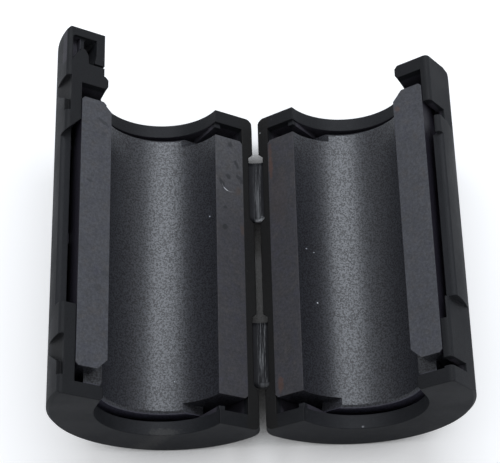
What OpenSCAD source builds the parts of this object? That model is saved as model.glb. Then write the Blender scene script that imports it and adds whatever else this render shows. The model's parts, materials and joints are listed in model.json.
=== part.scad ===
// Clip-on ferrite bead: two half-round case shells joined by two thin straps, a half-tube
// ferrite core in each, lying open as a V on the backs of its shells.
//
// Each half is drawn in its own frame and then tilted into place. In that frame X runs
// from the hinge line to the latch side, Y runs along the cable, and Z is the height above
// the parting plane, which holds the hinge line.

/* [Cable and cores] */
// Diameter of the cable bore through the two cores
cable_bore_d = 13; // [10:0.5:15]
// Outer diameter of the cores
core_od = 20; // [18.5:0.5:21]
// Length of the cores over their collars
core_len = 32.7; // [28:0.1:40]
// How far the collars round the bore stand past the cores' ends
collar_len = 1.07; // [0.5:0.01:1.6]
// Wall thickness of the collars
collar_wall = 2; // [1:0.1:2.5]
// Corner cut off each latch side strip, beside the bore
core_corner = 1.1; // [0.4:0.1:2]
// Bevel round the bore's mouths
bore_bevel = 0.3; // [0.1:0.05:0.5]
// Gap left between the two cores when the case is shut
core_face_gap = 0.1; // [0.06:0.02:0.3]

/* [Case] */
// Outer diameter of the shut case
case_od = 24.1; // [23.8:0.1:26]
// How far the case's axis lies from the cable's axis, towards the hinge
case_offset = 0.25; // [0:0.05:0.4]
// Thickness of the round wall
shell_wall = 1.1; // [0.8:0.1:1.2]
// Thickness of the end walls
end_wall = 1.5; // [1:0.1:1.8]
// Room between a core's collar and the end wall
end_room = 0.65; // [0.3:0.05:1]
// Bevel round the outer edge of each end
end_bevel = 0.3; // [0.1:0.05:0.6]
// Gap left between the plastic rims when the case is shut
rim_gap = 0.3; // [0.2:0.02:0.5]
// Rounding of the rims' outer edges on the latch side
rim_round = 0.45; // [0.2:0.05:0.5]
// Clearance round the cable in the end walls
mouth_clear = 0.25; // [0.1:0.05:0.5]
// How far the end wall's round mouth is sunk below the parting plane
mouth_drop = 0.5; // [0.2:0.1:1]
// How far the end wall's mouth is shifted towards the latch side
mouth_shift = 0.15; // [0:0.05:0.2]
// Corner cut off the rims beside the mouth, on the latch side
mouth_corner = 0.35; // [0.1:0.05:0.5]
// Clearance between a core and the ribs and walls that hold it
seat_clear = 0.05; // [0.02:0.01:0.1]
// Width of the ribs that carry the core
rib_w = 1.2; // [0.8:0.1:2]
// Distance from the middle rib to the outer ones
rib_pitch = 11; // [8:0.5:12]

/* [Hinge] */
// Angle between the two mating faces as the case lies open
open_angle = 111; // [90:1:140]
// Gap between the two shells along the hinge as the case lies open
hinge_gap = 0.72; // [0.5:0.02:1]
// Thickness of the hinge side wall at the rim, beside the core
hinge_wall = 1.2; // [1:0.05:1.4]
// Rounding of the upright corners at both ends of the hinge
hinge_corner_r = 0.75; // [0.4:0.05:0.9]
// Width of each strap along the case
strap_w = 7.3; // [5:0.1:8]
// Distance from the case's end to the strap
strap_inset = 5.1; // [4:0.1:6]
// Thickness of the straps
strap_t = 0.4; // [0.3:0.05:0.5]
// Depth of the middle of the straps below the hinge line
strap_drop = 0.95; // [0.85:0.05:1.1]
// How far the straps' middle sags below their feet
strap_sag = 0.15; // [0.08:0.01:0.3]
// Depth of the recess that each strap springs from
strap_recess = 0.46; // [0.3:0.02:0.6]
// Free slot beside each strap
strap_slot = 0.7; // [0.4:0.05:1.2]
// Slanted corner at the ends of each recess
strap_corner = 0.3; // [0.1:0.05:0.5]
// How far the ends of each recess lean outward for 1 mm of depth
strap_flare = 0.5; // [0:0.05:0.7]

/* [Latch side] */
// Thickness of the inner wall beside the right core
catch_wall = 0.9; // [0.7:0.05:1]
// Length of the flat on the right shell's latch side, at the near end
near_flat_len = 9; // [8:0.1:10]
// Length of the flat on the right shell's latch side, at the far end
far_flat_len = 7.6; // [7:0.1:8]
// Length of the sawtooth notch beside the far flat
tooth_len = 2.1; // [1.5:0.1:2.5]
// Depth of the sawtooth notch
tooth_depth = 3; // [2:0.1:4]
// Width of the cross groove in the right shell, at the near end
groove_w = 0.9; // [0.6:0.1:1.2]
// Depth of the cross groove
groove_depth = 3; // [2:0.1:4]
// How far the right rim is lowered along the round middle
low_rim = 0.45; // [0.2:0.05:0.8]
// Length of the full rim between the lowered part and the far flat
full_rim_len = 2; // [1.5:0.1:3]
// Thickness of the inner wall beside the left core
tongue_wall = 1.22; // [1.1:0.02:1.4]
// Length of the left rim from the near end to the middle opening
near_tongue_len = 9.7; // [9.5:0.1:11]
// Length of the left rim from the far end to the middle opening, at the outer edge
far_tongue_len = 8.8; // [8.6:0.1:10]
// How much further the opening reaches at the core than at the outer edge
channel_slant = 2.8; // [1:0.1:3.5]
// How far the left rim is lowered along the middle opening
rim_drop = 1.15; // [0.6:0.05:1.5]
// Length of the left shell's latch notches
notch_len = 4.3; // [3.5:0.1:4.5]
// Depth of the latch notches at their steep end
notch_depth = 3.6; // [2.5:0.1:4.5]
// Depth of the latch notches' ledge
notch_ledge = 0.7; // [0.4:0.05:1]
// Distance from the case's far end to the steep end of the far notch
notch_inset = 0.92; // [0.8:0.02:1.2]
// Distance from the middle opening to the steep end of the near notch
notch_step = 3.4; // [3:0.1:4]

/* [Tie lug] */
// Length of the lug past the end wall
lug_len = 5.2; // [4.8:0.1:7]
// Width of the lug at the rim, inward from the round wall
lug_w = 4.4; // [4.2:0.1:5]
// Depth of the lug below the rim
lug_h = 5; // [3.5:0.1:7]
// Thickness of the lug's end and inner walls
lug_wall = 1; // [0.8:0.05:1.1]
// Width of the tie slot
tie_slot_w = 1.35; // [1:0.05:1.4]
// Depth of the shallow pocket beside the tie slot
lug_pocket = 1.1; // [0.5:0.1:2]

/* [Hidden] */
$fn = 96;
past = 1;

case_r = case_od / 2;
core_r = core_od / 2;
bore_r = cable_bore_d / 2;
mouth_r = bore_r + mouth_clear;
cavity_r = case_r - shell_wall;
seat_r = core_r + seat_clear;

// Pose of the halves
tilt = (180 - open_angle) / 2;
hinge_face = hinge_gap / 2;
recess_face = hinge_face + strap_recess;

// Places across one half, from the hinge line
seat_face = hinge_face / cos(tilt) + hinge_wall;
bore_x = seat_face + seat_r;
case_x = bore_x - case_offset;
mouth_x = bore_x + mouth_shift;
latch_face = bore_x + seat_r;
catch_flat = latch_face + catch_wall;
tongue_face = latch_face + tongue_wall;
rim_edge = case_x + case_r;
reach = rim_edge + past;

// Places along one half, from its middle
core_y = core_len / 2;
step_y = core_y - collar_len;
inner_y = core_y + end_room;
end_y = inner_y + end_wall;
strap_y = end_y - strap_inset - strap_w / 2;
lug_y = end_y + lug_len;
channel_near = -end_y + near_tongue_len;
channel_far = end_y - far_tongue_len;
bulge_near = -end_y + near_flat_len;
bulge_far = end_y - far_flat_len;

// Heights over the parting plane
rim_z = -rim_gap / 2;
core_z = -core_face_gap / 2;
deep = case_r + past;

// The part's base and middle
hinge_z = case_r - case_x * sin(tilt);
frame_y = -lug_len / 2;

plastic = [0.11, 0.11, 0.12];
ferrite = [0.30, 0.31, 0.33];

// ---------------------------------------------------------------- placing

// Lifts the hinge line to its height and centres the part over its base.
module on_hinge_line() translate([0, frame_y, hinge_z]) children();

module right_half() on_hinge_line() rotate([0, -tilt, 0]) children();

module left_half() on_hinge_line() mirror([1, 0, 0]) rotate([0, -tilt, 0]) children();

// Turns a shape so that it stands upright once its half is tilted.
module upright() rotate([0, tilt, 0]) children();

// ---------------------------------------------------------------- shared shapes

// Box given by two opposite corners.
module span(low, high) translate(low) cube(high - low);

// Round bar along Y, with its axis in the parting plane.
module bar(x, r, y0, y1) translate([x, y1, 0]) rotate([90, 0, 0]) cylinder(h = y1 - y0, r = r);

// Round bar along Y with a bevel of size b at both ends.
module bevelled_bar(x, r, y0, y1, b) {
  bar(x, r, y0 + b, y1 - b);
  translate([x, y0 + b, 0]) rotate([90, 0, 0]) cylinder(h = b, r1 = r, r2 = r - b);
  translate([x, y1 - b, 0]) rotate([-90, 0, 0]) cylinder(h = b, r1 = r, r2 = r - b);
}

// Flat outline in X and Y, extruded from one height to another.
module slab(outline, z0, z1) translate([0, 0, z0]) linear_extrude(z1 - z0) polygon(outline);

// Outline in Y and Z, cut through X from one place to another.
module side_cut(outline, x0, x1) {
  translate([x0, 0, 0]) rotate([90, 0, 90]) linear_extrude(x1 - x0) polygon(outline);
}

// ---------------------------------------------------------------- ferrite cores

// Half tube with its mating face up and a collar round the bore at both ends. The collars
// stop short of the strips, and the latch side strips lose the corner next to the bore.
module ferrite_core() {
  hinge_depth = core_r * 0.45;
  latch_depth = bore_r * 0.26;
  latch_strip = bore_x + bore_r;
  color(ferrite) difference() {
    intersection() {
      union() {
        bevelled_bar(bore_x, core_r, -step_y, step_y, bore_bevel);
        bar(bore_x, bore_r + collar_wall, -core_y, core_y);
      }
      span([0, -core_y - past, -deep], [reach, core_y + past, core_z]);
    }
    bar(bore_x, bore_r, -core_y - past, core_y + past);
    for (s = [0, 1]) mirror([0, s, 0]) {
      translate([bore_x, core_y - bore_bevel, 0]) rotate([-90, 0, 0])
        cylinder(h = 2 * bore_bevel, r1 = bore_r, r2 = bore_r + 2 * bore_bevel);
      span([0, step_y, -hinge_depth], [bore_x, core_y + past, past]);
      span([bore_x, step_y, -latch_depth], [reach, core_y + past, past]);
      slab([
        [latch_strip - past, step_y - core_corner - past],
        [latch_strip + core_corner + past, step_y + past],
        [latch_strip - past, step_y + past]
      ], -latch_depth, past);
    }
  }
}

// ---------------------------------------------------------------- case shells

// Outside of one shell: a half round whose hinge side stands upright over the hinge gap.
module shell_blank() {
  intersection() {
    bevelled_bar(case_x, case_r, -end_y, end_y, end_bevel);
    span([-case_r, -end_y - past, -deep], [reach, end_y + past, rim_z]);
    upright() span([hinge_face, -end_y - past, -deep], [3 * case_r, end_y + past, 2 * deep]);
  }
}

// Hollow for the core. Its round floor stands clear of the core except at the three ribs,
// and outside the latch side channel a wall stands close beside the core.
module core_hollow(channel) {
  module clear_of_walls() span([seat_face, -end_y, -deep], [latch_face, end_y, past]);
  intersection() {
    bar(bore_x, seat_r, -inner_y, inner_y);
    clear_of_walls();
  }
  intersection() {
    difference() {
      bar(case_x, cavity_r, -inner_y, inner_y);
      for (y = [-rib_pitch, 0, rib_pitch])
        span([0, y - rib_w / 2, -deep], [reach, y + rib_w / 2, -core_r * 0.35]);
    }
    union() {
      clear_of_walls();
      slab(channel, -deep, past);
    }
  }
}

// Short ribs on the inside of the end walls, beside the hinge side of the cable's mouth.
module end_ribs() {
  x = bore_x - bore_r - 0.9;
  for (s = [0, 1]) mirror([0, s, 0])
    span([x, core_y + 0.1, -core_r * 0.5], [x + 0.7, inner_y + end_wall / 2, rim_z - 0.3]);
}

// What a rounded outer edge at x, on a rim at height z, loses along the case.
module edge_round(x, z, y0, y1) {
  translate([x - rim_round, y1, z - rim_round]) rotate([90, 0, 0]) linear_extrude(y1 - y0) polygon(concat(
    [[rim_round + past, rim_round + past], [0, rim_round + past]],
    [for (a = [0:30:90]) rim_round * [sin(a), cos(a)]],
    [[rim_round + past, 0]]
  ));
}

// Place of the round wall's outside at height z.
function wall_x(z) = case_x + sqrt(case_r * case_r - z * z);

// Cuts that take the corners off the rims beside the cable's mouth, and fade out below.
module mouth_corners() {
  lean = [[1, 0, 0.3, 0], [0, 1, 0, 0], [0, 0, 1, 0], [0, 0, 0, 1]];
  side = mouth_corner * sqrt(2);
  for (s = [0, 1], y = [inner_y, end_y]) mirror([0, s, 0])
    translate([mouth_x + mouth_r, y, rim_z]) multmatrix(lean) rotate([0, 0, 45])
      span([-side / 2, -side / 2, -2], [side / 2, side / 2, past]);
}

// Mouth for the cable in both end walls, round below and straight above.
module cable_mouths() {
  translate([0, 0, -mouth_drop]) bar(mouth_x, mouth_r, -end_y - past, end_y + past);
  span([mouth_x - mouth_r, -end_y - past, -mouth_drop], [mouth_x + mouth_r, end_y + past, past]);
}

// Recesses in the hinge side that the straps spring from, with a free slot beside each.
// Their ends lean outward with the depth, and toward the slot with the distance from it.
module strap_recesses() {
  half = strap_w / 2 + strap_slot;
  slant = strap_corner / strap_recess;
  lean = [[1, 0, 0, 0], [-slant, 1, -strap_flare, slant * hinge_face], [0, 0, 1, 0], [0, 0, 0, 1]];
  for (y = [-strap_y, strap_y], s = [0, 1]) translate([0, y, 0]) mirror([0, s, 0])
    upright() multmatrix(lean) span([0, -half / 2, -2 * strap_drop - past], [recess_face, half, past]);
}

// Rounds the upright corners where the end walls meet the hinge side.
module hinge_corners() {
  c = hinge_corner_r;
  for (s = [0, 1]) mirror([0, s, 0]) upright() difference() {
    span([hinge_face - past, end_y - c, -deep], [hinge_face + c, end_y + past, deep]);
    translate([hinge_face + c, end_y - c, -deep - past])
      cylinder(h = 2 * deep + 2 * past, r = c * 1.04);
  }
}

// Everything that both shells lose.
module shell_hollows(channel) {
  difference() {
    core_hollow(channel);
    end_ribs();
  }
  cable_mouths();
  mouth_corners();
  strap_recesses();
  hinge_corners();
}

// Side view of a latch notch whose steep end is at y: deep there, then a slope up to a ledge.
function notch_outline(y) = [
  [y, past],
  [y, -notch_depth],
  [y - notch_len * 0.25, -notch_depth],
  [y - notch_len * 0.65, -notch_ledge],
  [y - notch_len, -notch_ledge],
  [y - notch_len, past]
];

module left_case_shell() {
  channel = [
    [latch_face - past, channel_near],
    [reach, channel_near],
    [reach, channel_far],
    [latch_face, channel_far + channel_slant],
    [latch_face - past, channel_far + channel_slant]
  ];
  color(plastic) difference() {
    union() {
      shell_blank();
      lug_blank();
    }
    shell_hollows(channel);
    slab(channel, rim_z - rim_drop, past);
    edge_round(rim_edge, rim_z, -end_y - past, lug_y + past);
    edge_round(
      wall_x(rim_z - rim_drop), rim_z - rim_drop,
      channel_near, channel_far + channel_slant * past / (reach - latch_face)
    );
    for (y = [end_y - notch_inset, channel_near - notch_step])
      side_cut(notch_outline(y), tongue_face, reach);
    lug_hollows();
  }
}

// Lug for a cable tie: the round side carried on past the far end wall.
module lug_blank() {
  intersection() {
    bevelled_bar(case_x, case_r, -end_y, lug_y, end_bevel);
    span([rim_edge - lug_w, inner_y, rim_z - lug_h], [reach, lug_y, rim_z]);
  }
}

// Tie slot right through the lug, a shallow pocket beside it and a groove at its root.
module lug_hollows() {
  slot_x = rim_edge - lug_w + lug_wall;
  slot_end = lug_y - lug_wall;
  slot_root = end_y + lug_wall;
  pocket_x = slot_x + tie_slot_w + 0.5;
  slot_round = 0.25;
  slab([
    [slot_x + slot_round, slot_end],
    [slot_x, slot_end - slot_round],
    [slot_x, slot_root + tie_slot_w],
    [slot_x + slot_round, slot_root],
    [slot_x + tie_slot_w * 0.65, slot_root],
    [slot_x + tie_slot_w * 0.72, slot_root + tie_slot_w * 0.8],
    [slot_x + tie_slot_w, slot_root + tie_slot_w * 1.2],
    [slot_x + tie_slot_w, slot_end - slot_round],
    [slot_x + tie_slot_w - slot_round, slot_end]
  ], -deep, past);
  pocket_edge = rim_edge - rim_round - 0.1;
  slab([
    [pocket_x, slot_end],
    [pocket_x, slot_root + tie_slot_w * 1.1],
    [pocket_x + 0.3, slot_root + tie_slot_w * 0.95],
    [pocket_edge, slot_root + 0.1],
    [pocket_edge, slot_end - slot_round],
    [pocket_edge - slot_round, slot_end]
  ], rim_z - lug_pocket, past);
  span([slot_x, slot_end - 1.5, rim_z - 0.4], [pocket_x + 0.3, slot_end, past]);
  span([rim_edge - lug_w - past, slot_root, rim_z - 0.5], [slot_x + past / 2, slot_root + 0.25, past]);
}

module right_case_shell() {
  tooth_far = bulge_far + tooth_len;
  groove_far = -core_y + groove_w / 2;
  channel = [
    [latch_face - past, bulge_near - 2.3],
    [reach, bulge_near - 2.3],
    [reach, tooth_far],
    [latch_face - past, tooth_far]
  ];
  color(plastic) difference() {
    shell_blank();
    shell_hollows(channel);
    // Flats at both ends of the latch side
    span([catch_flat, bulge_far, -deep], [reach, end_y + past, past]);
    span([catch_flat, -end_y - past, -deep], [reach, bulge_near, past]);
    edge_round(catch_flat, rim_z, bulge_far, end_y + past);
    edge_round(catch_flat, rim_z, -end_y - past, bulge_near);
    // Sawtooth notch, steep at its far end
    side_cut([
      [tooth_far, past],
      [tooth_far, -tooth_depth],
      [tooth_far - 0.3, -tooth_depth],
      [bulge_far, rim_z],
      [bulge_far, past]
    ], latch_face, reach);
    // Thinner and lower rim along the round middle
    side_cut([
      [bulge_near, past],
      [bulge_near, rim_z - low_rim],
      [bulge_far - full_rim_len, rim_z - low_rim],
      [bulge_far - full_rim_len, past]
    ], latch_face, reach);
    edge_round(wall_x(rim_z - low_rim), rim_z - low_rim, bulge_near, bulge_far - full_rim_len);
    edge_round(rim_edge, rim_z, bulge_far - full_rim_len, bulge_far);
    span([latch_face, bulge_far - full_rim_len, -tooth_depth], [latch_face + 1.15, tooth_far, past]);
    // Cross groove from the end pocket to the outside
    span([latch_face - past, groove_far - groove_w, -groove_depth], [reach, groove_far, past]);
  }
}

// ---------------------------------------------------------------- hinge straps

// Thin web that sags between the strap recesses of the two shells.
module hinge_strap(y) {
  bend_r = (recess_face * recess_face + strap_sag * strap_sag) / (2 * strap_sag);
  color(plastic) on_hinge_line() translate([0, y - strap_w / 2, 0]) intersection() {
    translate([0, 0, bend_r - strap_drop]) rotate([-90, 0, 0]) difference() {
      cylinder(h = strap_w, r = bend_r + strap_t / 2);
      translate([0, 0, -past]) cylinder(h = strap_w + 2 * past, r = bend_r - strap_t / 2);
    }
    span([-recess_face, 0, -strap_drop - strap_t], [recess_face - seat_clear, strap_w, 0]);
  }
}

left_half() left_case_shell();
left_half() ferrite_core();  // left_ferrite_half
right_half() right_case_shell();
right_half() ferrite_core();  // right_ferrite_half
hinge_strap(strap_y);  // hinge_strap_far
hinge_strap(-strap_y);  // hinge_strap_near
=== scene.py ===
"""Looks of a clip-on ferrite bead: moulded case, ferrite halves and living hinge."""

import json
import logging
import math
from dataclasses import dataclass
from enum import Enum

import bmesh
import bpy
from mathutils import Matrix, Vector


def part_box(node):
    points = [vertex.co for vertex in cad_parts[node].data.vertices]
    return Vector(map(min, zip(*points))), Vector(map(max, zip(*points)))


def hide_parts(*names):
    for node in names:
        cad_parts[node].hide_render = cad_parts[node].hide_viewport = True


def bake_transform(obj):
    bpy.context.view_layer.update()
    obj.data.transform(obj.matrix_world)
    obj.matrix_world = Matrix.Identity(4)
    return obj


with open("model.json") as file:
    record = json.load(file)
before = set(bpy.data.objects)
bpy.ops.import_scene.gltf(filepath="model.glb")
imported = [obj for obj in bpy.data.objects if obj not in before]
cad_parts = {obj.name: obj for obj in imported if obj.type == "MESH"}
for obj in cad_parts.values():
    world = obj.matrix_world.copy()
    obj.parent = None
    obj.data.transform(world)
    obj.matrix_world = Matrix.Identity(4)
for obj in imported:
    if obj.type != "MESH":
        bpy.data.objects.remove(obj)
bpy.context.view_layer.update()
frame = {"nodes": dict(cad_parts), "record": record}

LOG = logging.getLogger("ferrite_bead")
MM = 0.001

Colour = tuple[float, float, float]
Point = tuple[float, float, float]
# A range's two ends: where an effect starts and is full, or its low and its high end
Span = tuple[float, float]
Socket = bpy.types.NodeSocket

WHITE: Colour = (1.0, 1.0, 1.0)


class Half(Enum):
    """The two halves of the case, by the body each one rides on."""

    LEFT = "left_half"
    RIGHT = "right_half"


def srgb(red: float, green: float, blue: float) -> Colour:
    """Turns a display colour into the linear one that the shader takes.

    Args:
        red: red from 0 to 255.
        green: green from 0 to 255.
        blue: blue from 0 to 255.

    Returns:
        The linear colour, each part from 0 to 1.
    """

    def linear(value: float) -> float:
        """One part of the colour, by the standard sRGB curve."""
        part = value / 255
        return part / 12.92 if part <= 0.04045 else ((part + 0.055) / 1.055) ** 2.4

    return linear(red), linear(green), linear(blue)


class Tint(Enum):
    """Colours of the marks that handling, grinding and dust leave."""

    PIT = srgb(36, 37, 40)
    SMUDGE = srgb(44, 46, 51)
    BROWN = srgb(72, 60, 54)
    RUST = srgb(98, 64, 46)
    SCRATCH = srgb(214, 216, 220)
    DUST = srgb(128, 126, 120)


@dataclass(frozen=True)
class BeadPose:
    """Where the two halves lie, in metres and degrees.

    Attributes:
        tilt_deg: tilt of each mating face from level.
        hinge_y: place of the hinge's middle along the case.
        hinge_z: height of the hinge line.
        bore_x: distance of each bore's axis from the hinge, level.
        bore_z: height of each bore's axis.
        bore_r: radius of the bores.
    """

    tilt_deg: float
    hinge_y: float
    hinge_z: float
    bore_x: float
    bore_z: float
    bore_r: float

    @classmethod
    def from_record(cls) -> "BeadPose":
        """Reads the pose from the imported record.

        Returns:
            The pose of both halves at rest.
        """
        record = frame["record"]
        joint = record["behaviour"]["joints"][0]
        seat = next(m for m in record["mounts"] if m["name"] == "right_cable_seat")
        return cls(
            tilt_deg=(180 + joint["range_deg"][0]) / 2,
            hinge_y=joint["pos_m"][1],
            hinge_z=joint["pos_m"][2],
            bore_x=seat["pos_m"][0],
            bore_z=seat["pos_m"][2],
            bore_r=seat["dims"]["r_mm"] * MM,
        )

    @property
    def tilt(self) -> float:
        """The tilt in radians."""
        return math.radians(self.tilt_deg)


POSE = BeadPose.from_record()


# ------------------------------------------------------------------ node trees


class Tree:
    """A short way to write shader node trees.

    Attributes:
        MIX_COLOURS: numbers of the Mix node's two colour inputs.
        MIX_RESULT: number of its colour output.
    """

    MIX_COLOURS = (6, 7)
    MIX_RESULT = 2

    def __init__(self, tree: bpy.types.NodeTree) -> None:
        """Wraps a node tree.

        Args:
            tree: the tree that nodes are added to.
        """
        self.tree = tree

    def link(self, source: Socket, target: Socket) -> None:
        """Links one socket to another."""
        self.tree.links.new(source, target)

    def add(self, kind: str, **inputs: object) -> bpy.types.Node:
        """Adds a node and sets or links its inputs.

        Args:
            kind: the node's type, without the ShaderNode prefix.
            **inputs: properties in lower case, and inputs by number as in_0,
                or by their name with spaces as underscores.

        Returns:
            The new node.
        """
        node = self.tree.nodes.new(f"ShaderNode{kind}")
        for key, value in inputs.items():
            if key.startswith("in_"):
                socket = node.inputs[int(key[3:])]
            elif hasattr(node, key) and key.islower():
                setattr(node, key, value)
                continue
            else:
                socket = node.inputs[key.replace("_", " ")]
            self.feed(value, socket)
        return node

    def feed(self, value: object, socket: Socket) -> None:
        """Links a socket to an input, or sets the input to a plain value.

        Args:
            value: a socket, or a plain value of the input's kind.
            socket: the input.
        """
        if isinstance(value, Socket):
            self.link(value, socket)
        else:
            socket.default_value = value

    def math(self, operation: str, *values: object, clamp: bool = False) -> Socket:
        """Adds a math node.

        Args:
            operation: the operation's name.
            *values: numbers or sockets for its inputs.
            clamp: whether the result is held between 0 and 1.

        Returns:
            Its output socket.
        """
        inputs = {f"in_{i}": value for i, value in enumerate(values)}
        return self.add("Math", operation=operation, use_clamp=clamp, **inputs).outputs[0]

    def product(self, *values: object) -> Socket:
        """Multiplies two or more numbers or sockets.

        Args:
            *values: what is multiplied.

        Returns:
            The product's socket.
        """
        result = values[0]
        for value in values[1:]:
            result = self.math("MULTIPLY", result, value)
        return result

    def between(self, factor: object, low: float, high: float) -> Socket:
        """Gives a number that runs evenly from one value to another.

        Args:
            factor: number or socket, from 0 to 1.
            low: the value where the factor is 0.
            high: the value where it is 1.

        Returns:
            The number's socket.
        """
        return self.math("MULTIPLY_ADD", factor, high - low, low)

    def dimmed(self, mask: object, share: float) -> Socket:
        """Gives 1 outside a mask, and less by a share inside it.

        Args:
            mask: the mask's socket.
            share: how much less it is inside.

        Returns:
            The number's socket.
        """
        return self.between(mask, 1.0, 1.0 - share)

    def length(self, first: object, second: object) -> Socket:
        """Finds the length of a flat vector from its two parts.

        Args:
            first: the first part.
            second: the second part.

        Returns:
            The length's socket.
        """
        flat = self.add("CombineXYZ", in_0=first, in_1=second)
        return self.add("VectorMath", operation="LENGTH", in_0=flat.outputs[0]).outputs["Value"]

    def ramp(self, value: object, low: float, high: float) -> Socket:
        """Maps a value smoothly from 0 at one end of a range to 1 at the other.

        Args:
            value: the socket to map.
            low: the value that gives 0.
            high: the value that gives 1.

        Returns:
            The mapped socket.
        """
        node = self.add("MapRange", interpolation_type="SMOOTHSTEP", clamp=True)
        for index, number in enumerate((value, low, high)):
            self.feed(number, node.inputs[index])
        return node.outputs[0]

    def band(self, value: object, low: float, high: float, soft: float) -> Socket:
        """Gives 1 between two values, with soft ends.

        Args:
            value: the socket to test.
            low: the lower end.
            high: the upper end.
            soft: how far each end fades out.

        Returns:
            The band's socket.
        """
        rise = self.ramp(value, low - soft, low + soft)
        return self.product(rise, self.ramp(value, high + soft, high - soft))

    def mix(self, factor: object, first: object, second: object) -> Socket:
        """Mixes two colours.

        Args:
            factor: number or socket, 0 for the first colour.
            first: colour or socket.
            second: colour or socket.

        Returns:
            The mixed colour's socket.
        """
        node = self.add("Mix", data_type="RGBA", in_0=factor)
        for index, colour in zip(self.MIX_COLOURS, (first, second)):
            full = colour if isinstance(colour, Socket) else (*colour, 1.0)
            self.feed(full, node.inputs[index])
        return node.outputs[self.MIX_RESULT]

    def shade(self, colour: object, factor: object) -> Socket:
        """Makes a colour lighter or darker.

        Args:
            colour: the colour's socket.
            factor: number or socket that each part is multiplied by.

        Returns:
            The shaded colour's socket.
        """
        return self.add("VectorMath", operation="SCALE", in_0=colour, in_3=factor).outputs[0]

    def noise(self, vector: object, scale: float, detail: float = 3.0, rough: float = 0.55) -> Socket:
        """Adds a noise texture.

        Args:
            vector: the coordinates.
            scale: cells in one unit of the coordinates.
            detail: octaves.
            rough: how strong the fine octaves are.

        Returns:
            The noise value's socket.
        """
        node = self.add("TexNoise", Vector=vector, Scale=scale, Detail=detail, Roughness=rough)
        return node.outputs["Fac"]

    def effect(self, group: bpy.types.NodeTree, **inputs: object) -> dict[str, Socket]:
        """Places a shared effect.

        Args:
            group: the effect's node group.
            **inputs: its inputs, with spaces as underscores.

        Returns:
            The effect's outputs by name.
        """
        node = self.tree.nodes.new("ShaderNodeGroup")
        node.node_tree = group
        for key, value in inputs.items():
            self.feed(value, node.inputs[key.replace("_", " ")])
        return {socket.name: socket for socket in node.outputs}


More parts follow.
